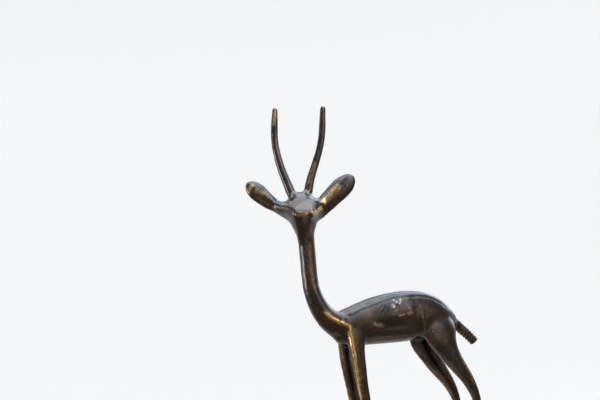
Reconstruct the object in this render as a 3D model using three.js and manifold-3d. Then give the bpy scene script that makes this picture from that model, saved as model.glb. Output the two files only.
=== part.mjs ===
// A small cast-bronze antelope with tall horns and paddle-shaped ears, about 145 mm tall.
// The figure stands on its four hooves, walks towards -X and turns its head to its own left.
// It is made the way a sectional bronze is made: one continuous form, sawn at its joints into
// a torso, neck, head, horns, ears, legs and tail, each joined by a round tenon in a socket.
// Units are millimetres and +Z is up. y < 0 is the animal's left side.
import * as THREE from "three";
import { mergeVertices } from "three/addons/utils/BufferGeometryUtils.js";
import Module from "manifold-3d";

const wasm = await Module();
wasm.setup();

// ---- Driving dimensions ----
const JOINT_GAP = 0.3; // braze gap between two castings
const BODY_SIDES = 32; // facets round the torso
const LIMB_SIDES = 20; // facets round the neck, head and legs
const SLIM_SIDES = 16; // facets round the ears, horns and tail
const RINGS_PER_STATION = 2; // rings from one station to the next
const PEG_SIDES = 16; // facets round a tenon
const PEG_ROOT = 0.5; // how far a tenon runs into its own casting, so that the two are one
const REACH = 60; // length of a cutting box where nothing limits it
const GROUND = { width: 200, depth: 200, length: 20 }; // the block that the soles are ground on

const HEAD_CENTRE = [-29.2, 0, 102.4];
const HEAD_TURN = THREE.MathUtils.degToRad(-28); // the face looks along (sin, -cos) of this angle
const HEAD_TILT = THREE.MathUtils.degToRad(5); // the crown leans towards the animal's left ear

// ---- Castings as stations along a limb ----
// A station is [x, y, z, half across, half deep, squareness]. "Across" lies along the limb's side
// axis and squareness is the superellipse power: 2 is an ellipse, 4 is nearly a rounded box.
const Y_AXIS = new THREE.Vector3(0, 1, 0);

const TORSO = [
  [-22.8, 0, 60.0, 1.6, 2.0, 2.0],
  [-20.6, 0, 59.7, 4.4, 5.6, 2.0],
  [-16.5, 0, 59.8, 5.9, 6.9, 2.4],
  [-10.0, 0, 60.6, 6.0, 8.0, 2.5],
  [-3.0, 0, 61.5, 6.6, 9.0, 2.4],
  [5.0, 0, 62.0, 7.3, 9.5, 2.4],
  [12.0, 0, 62.2, 7.7, 9.3, 2.3],
  [18.5, 0, 61.8, 7.5, 8.2, 2.2],
  [23.8, 0, 60.6, 6.4, 6.2, 2.1],
  [27.4, 0, 59.1, 4.6, 4.2, 2.0],
  [29.8, 0, 57.9, 2.8, 2.7, 2.0],
  [31.0, 0, 57.3, 0.9, 0.9, 2.0],
];

const NECK = [
  [-14.5, 0, 59.6, 4.9, 5.6, 2.0],
  [-18.8, 0, 60.3, 5.6, 5.5, 1.9],
  [-22.6, 0, 62.1, 5.4, 4.5, 1.8],
  [-25.9, 0, 65.4, 4.5, 3.9, 1.8],
  [-28.3, 0, 70.2, 3.6, 3.3, 1.9],
  [-29.6, 0, 76.0, 3.1, 3.0, 2.0],
  [-29.5, 0, 83.0, 2.95, 2.95, 2.1],
  [-29.25, 0, 90.0, 2.95, 2.95, 2.1],
  [-29.1, 0, 95.0, 3.1, 3.1, 2.1],
  [-29.1, 0, 101.0, 3.1, 3.1, 2.0],
];

const TAIL = [
  [26.5, 0, 61.4, 1.6, 1.9, 2.0],
  [30.2, 0, 58.4, 1.7, 2.1, 2.2],
  [33.6, 0, 55.2, 1.65, 2.0, 2.6],
  [36.6, 0, 52.3, 1.55, 1.85, 2.8],
  [38.9, 0, 49.9, 1.5, 1.8, 3.0],
];

// Legs are given for a centre plane at y = 0 and moved out to either side by their own spread.
const FORELEG = [
  [-14.0, 1.4, 64.0, 2.0, 3.6, 2.4],
  [-15.2, 0.5, 58.0, 2.2, 3.7, 3.0],
  [-15.9, 0.0, 52.0, 1.9, 3.1, 3.6],
  [-15.9, 0.0, 45.0, 1.85, 2.55, 3.6],
  [-15.6, 0.0, 38.0, 1.75, 2.15, 3.4],
  [-15.3, 0.0, 32.0, 1.65, 1.85, 3.0],
  [-15.2, 0.0, 27.0, 1.8, 2.0, 2.6],
  [-15.1, 0.0, 22.0, 1.5, 1.6, 2.4],
  [-15.0, 0.0, 13.0, 1.35, 1.45, 2.4],
  [-15.2, 0.0, 7.0, 1.6, 1.75, 2.4],
  [-15.9, 0.0, 3.5, 1.7, 2.1, 2.6],
  [-16.4, 0.0, 0.6, 2.0, 2.7, 2.8],
  [-16.6, 0.0, -2.0, 2.1, 2.9, 2.8],
];

const HIND_LEG = [
  [20.6, 3.6, 64.0, 2.0, 3.4, 2.0],
  [20.2, 2.4, 60.0, 3.1, 6.6, 2.1],
  [19.9, 1.2, 56.0, 3.2, 7.3, 2.2],
  [20.4, 0.4, 52.0, 2.9, 6.4, 2.3],
  [21.5, 0.1, 48.8, 2.6, 5.0, 2.3],
  [22.8, 0.0, 46.0, 2.4, 4.0, 2.3],
  [24.4, 0.0, 43.2, 2.25, 3.5, 2.3],
  [26.5, 0.0, 40.0, 2.1, 3.0, 2.3],
  [28.5, 0.0, 37.0, 1.95, 2.5, 2.3],
  [30.0, 0.0, 34.0, 1.85, 2.15, 2.3],
  [31.1, 0.0, 31.0, 1.75, 1.75, 2.3],
  [31.8, 0.0, 28.0, 1.65, 1.5, 2.3],
  [32.0, 0.0, 25.0, 1.6, 1.55, 2.3],
  [31.9, 0.0, 20.0, 1.4, 1.4, 2.3],
  [31.3, 0.0, 13.0, 1.35, 1.4, 2.3],
  [30.7, 0.0, 7.0, 1.6, 1.75, 2.4],
  [29.8, 0.0, 3.5, 1.7, 2.1, 2.6],
  [29.2, 0.0, 0.6, 2.0, 2.7, 2.8],
  [29.0, 0.0, -2.0, 2.1, 2.9, 2.8],
];

// How far each leg stands out from the middle, and how far its foot and its top are moved in x.
const LEGS = {
  left_foreleg: { stations: FORELEG, side: -1, spread: 4.1, footShift: 0, topShift: -0.1 },
  right_foreleg: { stations: FORELEG, side: 1, spread: 4.1, footShift: 0.4, topShift: 0.6 },
  left_hind_leg: { stations: HIND_LEG, side: -1, spread: 6.0, footShift: 0, topShift: 0 },
  right_hind_leg: { stations: HIND_LEG, side: 1, spread: 6.0, footShift: -0.9, topShift: 0.2 },
};
const SHIFT_FROM_Z = 44; // below this height a leg has its foot's shift
const SHIFT_TO_Z = 56; // above this height a leg has its top's shift

// The head's own frame: x runs to the animal's left ear, y to the back of the head, z to the crown.
const SKULL = [
  [-0.4, 4.9, 3.2, 0.7, 0.7, 2.0],
  [-0.4, 4.0, 3.5, 2.7, 3.2, 2.0],
  [-0.5, 1.8, 3.7, 4.4, 5.0, 2.0],
  [-0.3, -1.0, 3.3, 5.6, 4.7, 2.1],
  [0, -3.6, 2.0, 5.9, 3.9, 2.2],
  [0, -5.9, 0.5, 5.6, 3.2, 2.3],
  [0, -7.8, -0.8, 5.0, 2.4, 2.4],
  [0, -9.2, -1.7, 4.1, 1.5, 2.4],
  [0, -9.9, -2.1, 2.6, 0.8, 2.2],
];

const NAPE = [
  [1.5, 0, -16.0, 2.7, 2.7, 2.1],
  [1.1, 0, -11.5, 2.9, 2.9, 2.1],
  [0.8, -0.1, -8.4, 3.1, 3.1, 2.1],
  [0.5, -0.4, -6.2, 3.8, 3.5, 2.1],
  [0.3, -1.1, -3.6, 4.8, 4.2, 2.1],
  [0.0, -1.5, -0.6, 5.6, 4.6, 2.1],
  [0.0, -0.9, 2.6, 4.6, 3.9, 2.0],
];

// Ears: "across" is the ear's thickness and "deep" is its width.
const LEFT_EAR = [
  [1.5, 0.8, 0.2, 2.8, 3.4, 2.0],
  [4.3, 0.8, 1.1, 2.9, 3.8, 1.9],
  [6.9, 0.9, 2.8, 2.6, 3.6, 1.8],
  [10.5, 1.1, 6.1, 2.4, 3.6, 1.8],
  [14.5, 1.4, 9.9, 2.2, 4.0, 1.9],
  [17.5, 1.6, 12.6, 1.6, 3.1, 2.0],
  [19.1, 1.7, 13.6, 0.9, 1.7, 2.0],
  [19.7, 1.7, 13.9, 0.3, 0.5, 2.0],
];
const RIGHT_EAR = [
  [-1.5, 0.8, 0.2, 2.6, 3.2, 2.0],
  [-4.2, 0.8, 0.8, 2.6, 3.4, 2.0],
  [-6.3, 0.9, 1.7, 2.3, 3.1, 1.9],
  [-9.8, 1.1, 3.8, 2.1, 2.7, 1.9],
  [-13.1, 1.3, 6.1, 2.1, 2.9, 1.9],
  [-16.8, 1.6, 9.5, 1.9, 3.4, 2.0],
  [-19.2, 1.7, 11.7, 1.3, 2.6, 2.1],
  [-20.3, 1.7, 12.7, 0.8, 1.4, 2.0],
  [-20.7, 1.7, 13.0, 0.3, 0.5, 2.0],
];

const LEFT_HORN = [
  [1.3, 0.6, 3.0, 1.6, 1.7, 2.0],
  [2.0, 0.8, 7.2, 1.65, 1.8, 2.0],
  [2.8, 1.4, 12.0, 1.5, 1.65, 2.1],
  [4.1, 2.1, 16.5, 1.4, 1.5, 2.1],
  [5.7, 2.8, 21.2, 1.35, 1.4, 2.1],
  [7.1, 3.3, 25.9, 1.3, 1.35, 2.1],
  [8.0, 3.6, 30.7, 1.3, 1.35, 2.1],
  [8.5, 3.7, 36.3, 1.25, 1.25, 2.1],
  [8.8, 3.6, 41.0, 1.05, 1.0, 2.1],
  [8.85, 3.6, 42.0, 0.7, 0.7, 2.0],
];
const RIGHT_HORN = [
  [-2.1, 0.6, 3.0, 1.7, 1.7, 2.0],
  [-3.7, 0.8, 7.2, 1.8, 1.9, 2.0],
  [-5.3, 1.4, 11.8, 1.6, 1.75, 2.1],
  [-6.7, 2.0, 15.5, 1.5, 1.6, 2.1],
  [-8.1, 2.6, 20.0, 1.4, 1.5, 2.1],
  [-9.2, 3.2, 25.0, 1.35, 1.45, 2.1],
  [-9.8, 3.6, 29.8, 1.3, 1.4, 2.1],
  [-9.7, 3.7, 35.5, 1.25, 1.3, 2.1],
  [-9.35, 3.6, 40.8, 1.1, 1.1, 2.1],
  [-9.25, 3.6, 42.0, 0.7, 0.7, 2.0],
];

// ---- Joints ----
// A joint is a point on its face, the way to the casting beyond it, the box that frees that
// casting, and the radius and length of the tenon. Horn, ear and head joints are in the head's frame.
const HORN_CUT = { width: 6.4, depth: 10, length: 40, radius: 0.9, tenon: 3 };
const LEFT_EAR_CUT = { width: 8.6, depth: 8, length: 22, radius: 1.0, tenon: 3 };
const RIGHT_EAR_CUT = { width: 7.2, depth: 8, length: 22, radius: 1.0, tenon: 3 };
const HEAD_CUT = { width: 40, depth: 40, length: 30, radius: 1.3, tenon: 5 };
const LEFT_HORN_JOINT = { at: [2.3, 1.0, 9.2], toward: [0.19, 0.1, 1], cut: HORN_CUT };
const RIGHT_HORN_JOINT = { at: [-4.3, 1.0, 9.2], toward: [-0.2, 0.1, 1], cut: HORN_CUT };
const LEFT_EAR_JOINT = { at: [7.6, 1.1, 3.5], toward: [0.73, 0.03, 0.68], cut: LEFT_EAR_CUT };
const RIGHT_EAR_JOINT = { at: [-8.2, 1.1, 2.8], toward: [-0.8, 0.03, 0.6], cut: RIGHT_EAR_CUT };
const HEAD_JOINT = { at: [0.2, 0, -6.6], toward: [0, 0, 1], cut: HEAD_CUT };

const TAIL_CUT = { width: 8, depth: 8, length: 16, radius: 0.8, tenon: 4 };
const NECK_CUT = { width: 80, depth: 80, length: 40, radius: 2, tenon: 6 };
const TAIL_JOINT = { at: [33.0, 0, 55.8], toward: [0.74, 0, -0.67], cut: TAIL_CUT };
const NECK_JOINT = { at: [-24.2, 0, 63.4], toward: [-0.68, 0, 0.73], cut: NECK_CUT };
const TORSO_CENTRE = [0, 0, 62];

// The leg joints are level. The x is the leg's centre line at that height.
const LEG_CUT = { width: 30, depth: 14, length: REACH, tenon: 5 };
const FORELEG_JOINT = { x: -15.9, z: 50, radius: 1.0 };
const HIND_LEG_JOINT = { x: 23.1, z: 45.5, radius: 1.3 };

// ---- Geometry helpers ----
// A closed tube through the stations: a capped cylinder whose rings are moved onto the limb.
function loft(stations, sideAxis, sides) {
  const path = new THREE.CatmullRomCurve3(
    stations.map(([x, y, z]) => new THREE.Vector3(x, y, z)),
    false,
    "catmullrom",
    0.5,
  );
  const section = new THREE.CatmullRomCurve3(
    stations.map(([, , , across, deep, power]) => new THREE.Vector3(across, deep, power)),
    false,
    "catmullrom",
    0.5,
  );
  const rings = (stations.length - 1) * RINGS_PER_STATION;
  const geometry = new THREE.CylinderGeometry(1, 1, 1, sides, rings);
  const position = geometry.getAttribute("position");
  const side = new THREE.Vector3();
  const front = new THREE.Vector3();
  for (let i = 0; i < position.count; i++) {
    const ring = Math.round((position.getY(i) + 0.5) * rings) / rings;
    const centre = path.getPoint(ring);
    const tangent = path.getTangent(ring);
    const size = section.getPoint(ring);
    side.copy(sideAxis).addScaledVector(tangent, -sideAxis.dot(tangent)).normalize();
    front.crossVectors(tangent, side);
    const x = position.getX(i);
    const z = position.getZ(i);
    const onRim = x * x + z * z > 0.5;
    const reach = onRim ? (Math.abs(x) ** size.z + Math.abs(z) ** size.z) ** (-1 / size.z) : 0;
    centre.addScaledVector(side, x * reach * size.x).addScaledVector(front, z * reach * size.y);
    position.setXYZ(i, centre.x, centre.y, centre.z);
  }
  return geometry;
}

function toSolid(geometry) {
  const bare = geometry.clone();
  bare.deleteAttribute("normal");
  bare.deleteAttribute("uv");
  const merged = mergeVertices(bare, 1e-4);
  const vertProperties = new Float32Array(merged.getAttribute("position").array);
  const triVerts = new Uint32Array(merged.index.array);
  const solid = new wasm.Manifold(new wasm.Mesh({ numProp: 3, vertProperties, triVerts }));
  if (solid.volume() > 0) return solid;
  for (let i = 0; i < triVerts.length; i += 3) {
    [triVerts[i + 1], triVerts[i + 2]] = [triVerts[i + 2], triVerts[i + 1]];
  }
  return new wasm.Manifold(new wasm.Mesh({ numProp: 3, vertProperties, triVerts }));
}

function toGeometry(solid) {
  const mesh = solid.getMesh();
  const positions = new Float32Array(mesh.numVert * 3);
  for (let i = 0; i < mesh.numVert; i++) {
    positions.set(mesh.vertProperties.subarray(i * mesh.numProp, i * mesh.numProp + 3), i * 3);
  }
  const geometry = new THREE.BufferGeometry();
  geometry.setAttribute("position", new THREE.BufferAttribute(positions, 3));
  geometry.setIndex(new THREE.BufferAttribute(new Uint32Array(mesh.triVerts), 1));
  geometry.computeVertexNormals();
  return geometry;
}

// A box that starts at a joint face and runs out along the joint's direction.
function boxFrom(point, direction, { width, depth, length }, grow = 0) {
  const geometry = new THREE.BoxGeometry(width + 2 * grow, depth + 2 * grow, length + 2 * grow);
  geometry.translate(0, 0, length / 2);
  const turn = new THREE.Quaternion().setFromUnitVectors(new THREE.Vector3(0, 0, 1), direction);
  geometry.applyQuaternion(turn);
  geometry.translate(point.x, point.y, point.z);
  return toSolid(geometry);
}

// A round peg from a joint face back into the parent casting.
function pegAt(point, direction, radius, length, grow = 0) {
  const span = length + grow + PEG_ROOT;
  const geometry = new THREE.CylinderGeometry(radius + grow, radius + grow, span, PEG_SIDES);
  geometry.rotateX(Math.PI / 2);
  geometry.translate(0, 0, PEG_ROOT - span / 2);
  const turn = new THREE.Quaternion().setFromUnitVectors(new THREE.Vector3(0, 0, 1), direction);
  geometry.applyQuaternion(turn);
  geometry.translate(point.x, point.y, point.z);
  return toSolid(geometry);
}

// ---- The whole form ----
const headFrame = new THREE.Matrix4()
  .makeTranslation(...HEAD_CENTRE)
  .multiply(new THREE.Matrix4().makeRotationZ(HEAD_TURN))
  .multiply(new THREE.Matrix4().makeRotationY(HEAD_TILT));

const inHead = (x, y, z) => new THREE.Vector3(x, y, z).applyMatrix4(headFrame);
const headDirection = (x, y, z) =>
  new THREE.Vector3(x, y, z).normalize().transformDirection(headFrame);

function headLoft(stations, sideAxis, sides) {
  return toSolid(loft(stations, sideAxis, sides).applyMatrix4(headFrame));
}

const shiftAt = (z, { footShift, topShift }) =>
  THREE.MathUtils.mapLinear(
    THREE.MathUtils.clamp(z, SHIFT_FROM_Z, SHIFT_TO_Z),
    SHIFT_FROM_Z,
    SHIFT_TO_Z,
    footShift,
    topShift,
  );

function legLoft(leg) {
  const placed = leg.stations.map(([x, inward, z, across, deep, power]) => {
    const y = leg.side * (leg.spread - inward);
    return [x + shiftAt(z, leg), y, z, across, deep, power];
  });
  return toSolid(loft(placed, Y_AXIS, LIMB_SIDES));
}

const X_AXIS = new THREE.Vector3(1, 0, 0);
let whole = [
  toSolid(loft(TORSO, Y_AXIS, BODY_SIDES)),
  toSolid(loft(NECK, Y_AXIS, LIMB_SIDES)),
  toSolid(loft(TAIL, Y_AXIS, SLIM_SIDES)),
  headLoft(SKULL, X_AXIS, LIMB_SIDES),
  headLoft(NAPE, X_AXIS, LIMB_SIDES),
  headLoft(LEFT_EAR, Y_AXIS, SLIM_SIDES),
  headLoft(RIGHT_EAR, Y_AXIS, SLIM_SIDES),
  headLoft(LEFT_HORN, Y_AXIS, SLIM_SIDES),
  headLoft(RIGHT_HORN, Y_AXIS, SLIM_SIDES),
  ...Object.values(LEGS).map(legLoft),
].reduce((sum, solid) => sum.add(solid));

// The soles are ground flat on one plane.
const DOWN = new THREE.Vector3(0, 0, -1);
whole = whole.subtract(boxFrom(new THREE.Vector3(), DOWN, GROUND));

// ---- Joints, from the tips inwards ----
// Each joint saws one casting off the whole and gives it a tenon that sits in the parent's socket.
const joints = [];
function sawOff(name, point, direction, cut, sideways = 0) {
  const start = point.clone();
  start.y += sideways;
  const piece = whole.intersect(boxFrom(start, direction, cut));
  whole = whole
    .subtract(boxFrom(start, direction, cut, JOINT_GAP))
    .subtract(pegAt(point, direction, cut.radius, cut.tenon, JOINT_GAP));
  joints.push({ name, solid: piece.add(pegAt(point, direction, cut.radius, cut.tenon)), point });
}

function sawOffHead(name, { at, toward, cut }) {
  sawOff(name, inHead(...at), headDirection(...toward), cut);
}

function sawOffBody(name, { at, toward, cut }) {
  sawOff(name, new THREE.Vector3(...at), new THREE.Vector3(...toward).normalize(), cut);
}

sawOffHead("left_horn", LEFT_HORN_JOINT);
sawOffHead("right_horn", RIGHT_HORN_JOINT);
sawOffHead("left_ear", LEFT_EAR_JOINT);
sawOffHead("right_ear", RIGHT_EAR_JOINT);
sawOffBody("tail", TAIL_JOINT);

// A leg's box stops just short of the middle plane, so that it frees one leg of the pair.
for (const [name, leg] of Object.entries(LEGS)) {
  const joint = leg.stations === FORELEG ? FORELEG_JOINT : HIND_LEG_JOINT;
  const x = joint.x + shiftAt(joint.z, leg);
  const point = new THREE.Vector3(x, leg.side * leg.spread, joint.z);
  const sideways = leg.side * (LEG_CUT.depth / 2 + JOINT_GAP - leg.spread);
  sawOff(name, point, DOWN, { ...LEG_CUT, radius: joint.radius }, sideways);
}

sawOffHead("head", HEAD_JOINT);
sawOffBody("neck", NECK_JOINT);
joints.push({ name: "torso", solid: whole, point: new THREE.Vector3(...TORSO_CENTRE) });

// ---- The assembly ----
const bronze = new THREE.MeshStandardMaterial({ color: 0x3a2f26, roughness: 0.38, metalness: 0.9 });

const statuette = new THREE.Group();
for (const { name, solid, point } of joints) {
  const geometry = toGeometry(solid);
  geometry.translate(-point.x, -point.y, -point.z);
  const mesh = new THREE.Mesh(geometry, bronze.clone());
  mesh.name = name;
  mesh.position.copy(point);
  statuette.add(mesh);
}

// The origin is the middle of the figure's outline, on the plane that its hooves stand on.
const extent = new THREE.Box3().setFromObject(statuette);
const middle = extent.getCenter(new THREE.Vector3());
for (const mesh of statuette.children) {
  mesh.position.x -= middle.x;
  mesh.position.y -= middle.y;
}

export default statuette;
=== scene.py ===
"""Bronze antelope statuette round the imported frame: castings, worn patina, floor, light and camera.

Lengths are millimetres, and MM turns them into metres. A figure point is x and z in the row frame, with
y measured from the figure's own middle plane, which place() moves to the row frame.
"""

import math

import bmesh
import bpy
import numpy as np
from mathutils import Matrix, Vector, noise
from mathutils.bvhtree import BVHTree


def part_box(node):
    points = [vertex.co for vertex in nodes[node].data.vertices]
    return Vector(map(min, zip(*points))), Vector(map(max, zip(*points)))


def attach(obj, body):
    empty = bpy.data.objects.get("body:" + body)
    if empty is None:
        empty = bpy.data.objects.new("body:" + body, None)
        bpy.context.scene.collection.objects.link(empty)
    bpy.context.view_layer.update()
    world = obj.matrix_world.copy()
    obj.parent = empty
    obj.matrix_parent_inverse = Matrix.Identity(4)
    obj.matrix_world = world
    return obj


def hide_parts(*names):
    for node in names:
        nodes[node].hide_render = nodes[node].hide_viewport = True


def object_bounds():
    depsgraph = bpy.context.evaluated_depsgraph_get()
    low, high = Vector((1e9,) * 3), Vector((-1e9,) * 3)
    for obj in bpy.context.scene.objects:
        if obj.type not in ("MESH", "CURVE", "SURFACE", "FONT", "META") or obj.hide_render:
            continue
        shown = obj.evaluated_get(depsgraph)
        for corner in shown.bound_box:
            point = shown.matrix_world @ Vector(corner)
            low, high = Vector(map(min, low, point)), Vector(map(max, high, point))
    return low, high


MM = 0.001
VOXEL = 0.32
GAP_CLOSING = 0.18
WELD = 1e-6
LINE_STEP = 0.2
SNAP = 0.012

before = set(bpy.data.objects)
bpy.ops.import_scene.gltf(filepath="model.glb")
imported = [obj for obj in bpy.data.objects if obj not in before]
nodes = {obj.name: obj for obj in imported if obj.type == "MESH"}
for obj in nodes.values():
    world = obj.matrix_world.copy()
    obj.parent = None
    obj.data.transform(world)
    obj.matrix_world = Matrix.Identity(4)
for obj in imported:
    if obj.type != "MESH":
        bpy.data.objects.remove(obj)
cad_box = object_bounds()
tail_low, tail_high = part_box("tail")
MIDDLE_Y = (tail_low.y + tail_high.y) / 2 / MM


def place(point):
    """A figure point in the row frame."""
    return np.array(point, float) + (0, MIDDLE_Y, 0)


# ---------------------------------------------------------------- one skin over all the castings


def welded(obj):
    """The node's points and triangles in mm, with shared corners joined, and its point normals."""
    bm = bmesh.new()
    bm.from_mesh(obj.data)
    bmesh.ops.remove_doubles(bm, verts=bm.verts, dist=WELD)
    bm.normal_update()
    points = np.array([v.co for v in bm.verts]) / MM
    normals = np.array([v.normal for v in bm.verts])
    faces = [[v.index for v in f.verts] for f in bm.faces]
    bm.free()
    return points, normals, faces


# Cast fillets too wide to come from smoothing: rounded bars from the muzzle to each ear root and down
# the throat. Each is a start point and radius, and an end point and radius.
FILLET_BARS = (
    ((-26.6, -6.3, 102.6), 2.6, (-19.6, -2.9, 105.6), 2.3),
    ((-31.4, -4.3, 103.6), 2.9, (-34.0, 2.9, 106.2), 2.0),
    ((-30.2, -5.4, 101.2), 2.9, (-27.2, -0.6, 92.5), 2.6),
)
BAR_SIDES = 24
BAR_CAP_RINGS = 6
BAR_CAP_START = 0.15  # radians from a bar's tip to its first ring


def rounded_bar(start, start_radius, end, end_radius):
    """Points and faces of a bar with round ends, between two figure points."""
    first, last = place(start), place(end)
    axis = (last - first) / np.linalg.norm(last - first)
    side = np.cross(axis, (0.0, 0.0, 1.0))
    side /= np.linalg.norm(side)
    other = np.cross(side, axis)
    rises = np.linspace(BAR_CAP_START, math.pi / 2, BAR_CAP_RINGS)
    rings = [(first - axis * start_radius * math.cos(t), start_radius * math.sin(t)) for t in rises]
    rings += [(last + axis * end_radius * math.cos(t), end_radius * math.sin(t)) for t in reversed(rises)]
    points, faces = [], []
    for i, (centre, radius) in enumerate(rings):
        for k in range(BAR_SIDES):
            turn = 2 * math.pi * k / BAR_SIDES
            points.append(centre + radius * (side * math.cos(turn) + other * math.sin(turn)))
            if i:
                here, beside = i * BAR_SIDES + k, i * BAR_SIDES + (k + 1) % BAR_SIDES
                faces.append([here - BAR_SIDES, beside - BAR_SIDES, beside, here])
    last_ring = (len(rings) - 1) * BAR_SIDES
    faces.append(list(reversed(range(BAR_SIDES))))
    faces.append(list(range(last_ring, last_ring + BAR_SIDES)))
    return np.array(points), faces


def fused():
    """Quads of one closed skin that follows every node and bridges the joint gaps."""
    points, faces = [], []
    start = 0
    for name in sorted(nodes):
        p, n, f = welded(nodes[name])
        points.append(p + n * GAP_CLOSING)
        faces += [[i + start for i in face] for face in f]
        start += len(p)
    for bar in FILLET_BARS:
        p, f = rounded_bar(*bar)
        points.append(p)
        faces += [[i + start for i in face] for face in f]
        start += len(p)
    mesh = bpy.data.meshes.new("fused_source")
    mesh.from_pydata((np.concatenate(points) * MM).tolist(), [], faces)
    obj = bpy.data.objects.new("fused_source", mesh)
    bpy.context.scene.collection.objects.link(obj)
    remesh = obj.modifiers.new("remesh", "REMESH")
    remesh.mode = "VOXEL"
    remesh.voxel_size = VOXEL * MM
    evaluated = obj.evaluated_get(bpy.context.evaluated_depsgraph_get())
    result = bpy.data.meshes.new_from_object(evaluated)
    co = np.zeros(len(result.vertices) * 3, np.float32)
    result.vertices.foreach_get("co", co)
    quads = np.array([p.vertices[:] for p in result.polygons])
    bpy.data.objects.remove(obj)
    bpy.data.meshes.remove(mesh)
    bpy.data.meshes.remove(result)
    return largest_island(co.reshape(-1, 3).astype(float) / MM, quads)


def largest_island(points, quads):
    """Only the outer skin: the pockets inside the joints are left out."""
    links = [[] for _ in points]
    for quad in quads.tolist():
        for a, b in zip(quad, quad[1:] + quad[:1]):
            links[a].append(b)
    island = np.full(len(points), -1)
    sizes = []
    for seed in range(len(points)):
        if island[seed] >= 0:
            continue
        island[seed] = len(sizes)
        todo = [seed]
        count = 0
        while todo:
            here = todo.pop()
            count += 1
            for other in links[here]:
                if island[other] < 0:
                    island[other] = island[seed]
                    todo.append(other)
        sizes.append(count)
    keep = island == int(np.argmax(sizes))
    renumber = np.cumsum(keep) - 1
    return points[keep], renumber[quads[keep[quads[:, 0]]]]


PAINTS = ("wear", "cavity", "scar")
HOLLOW_STEP = 0.5  # how far a hollow corner moves towards its neighbours in one pass


class Skin:
    """The fused skin as arrays, with the moves that shape it."""

    def __init__(self, points, quads):
        self.p = points
        self.quads = quads
        pairs = np.concatenate([quads[:, [i, (i + 1) % 4]] for i in range(4)])
        pairs = np.unique(np.sort(pairs, axis=1), axis=0)
        self.a, self.b = pairs[:, 0], pairs[:, 1]
        self.degree = np.bincount(pairs.ravel(), minlength=len(points)).astype(float)
        self.paint = {name: np.zeros(len(points)) for name in PAINTS}

    def beside(self, values):
        """The mean of each point's neighbours."""
        flat = values.reshape(len(self.p), -1)
        total = [
            np.bincount(self.a, flat[self.b, k], len(self.p))
            + np.bincount(self.b, flat[self.a, k], len(self.p))
            for k in range(flat.shape[1])
        ]
        return (np.stack(total, 1) / self.degree[:, None]).reshape(values.shape)

    def relaxed(self, values, passes, share=0.5):
        for _ in range(passes):
            values = values + share * (self.beside(values) - values)
        return values

    def normals(self):
        q = self.p[self.quads]
        face = np.cross(q[:, 2] - q[:, 0], q[:, 3] - q[:, 1])
        total = np.zeros_like(self.p)
        for i in range(4):
            for k in range(3):
                total[:, k] += np.bincount(self.quads[:, i], face[:, k], len(self.p))
        return total / np.maximum(np.linalg.norm(total, axis=1), 1e-12)[:, None]

    def smooth(self, passes):
        """Takes out facets but keeps volume and thin parts: the lost broad shape is added back."""
        calm = self.relaxed(self.p, passes)
        self.p = calm + self.relaxed(self.p - calm, passes)

    def fill_creases(self, passes, share, crest=0.1):
        """Cast fillets: hollow corners move outwards, crests hardly move. share is per point."""
        inside = share[self.quads].max(1) > 0
        used, local = np.unique(self.quads[inside], return_inverse=True)
        patch = Skin(self.p[used], local.reshape(-1, 4))
        for _ in range(passes):
            step = patch.beside(patch.p) - patch.p
            inward = (step * patch.normals()).sum(1) < 0
            patch.p = patch.p + step * (np.where(inward, crest, HOLLOW_STEP) * share[used])[:, None]
        self.p[used] = patch.p

    def tree(self):
        return BVHTree.FromPolygons(self.p.tolist(), self.quads.tolist())


def curve_through(points):
    """A smooth open curve through the points, with a point every LINE_STEP mm or so."""
    pts = [place(p) for p in points]
    if len(pts) == 1:
        return np.array(pts)
    pts = [2 * pts[0] - pts[1], *pts, 2 * pts[-1] - pts[-2]]
    out = []
    for p0, p1, p2, p3 in zip(pts, pts[1:], pts[2:], pts[3:]):
        steps = max(2, int(np.linalg.norm(p2 - p1) / LINE_STEP))
        for t in np.linspace(0, 1, steps, endpoint=False):
            out.append(
                0.5
                * (
                    2 * p1
                    + (p2 - p0) * t
                    + (2 * p0 - 5 * p1 + 4 * p2 - p3) * t**2
                    + (3 * p1 - p0 - 3 * p2 + p3) * t**3
                )
            )
    out.append(pts[-2])
    return np.array(out)


def smoothstep(x, low, high):
    t = np.clip((x - low) / (high - low), 0, 1)
    return t * t * (3 - 2 * t)


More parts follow.
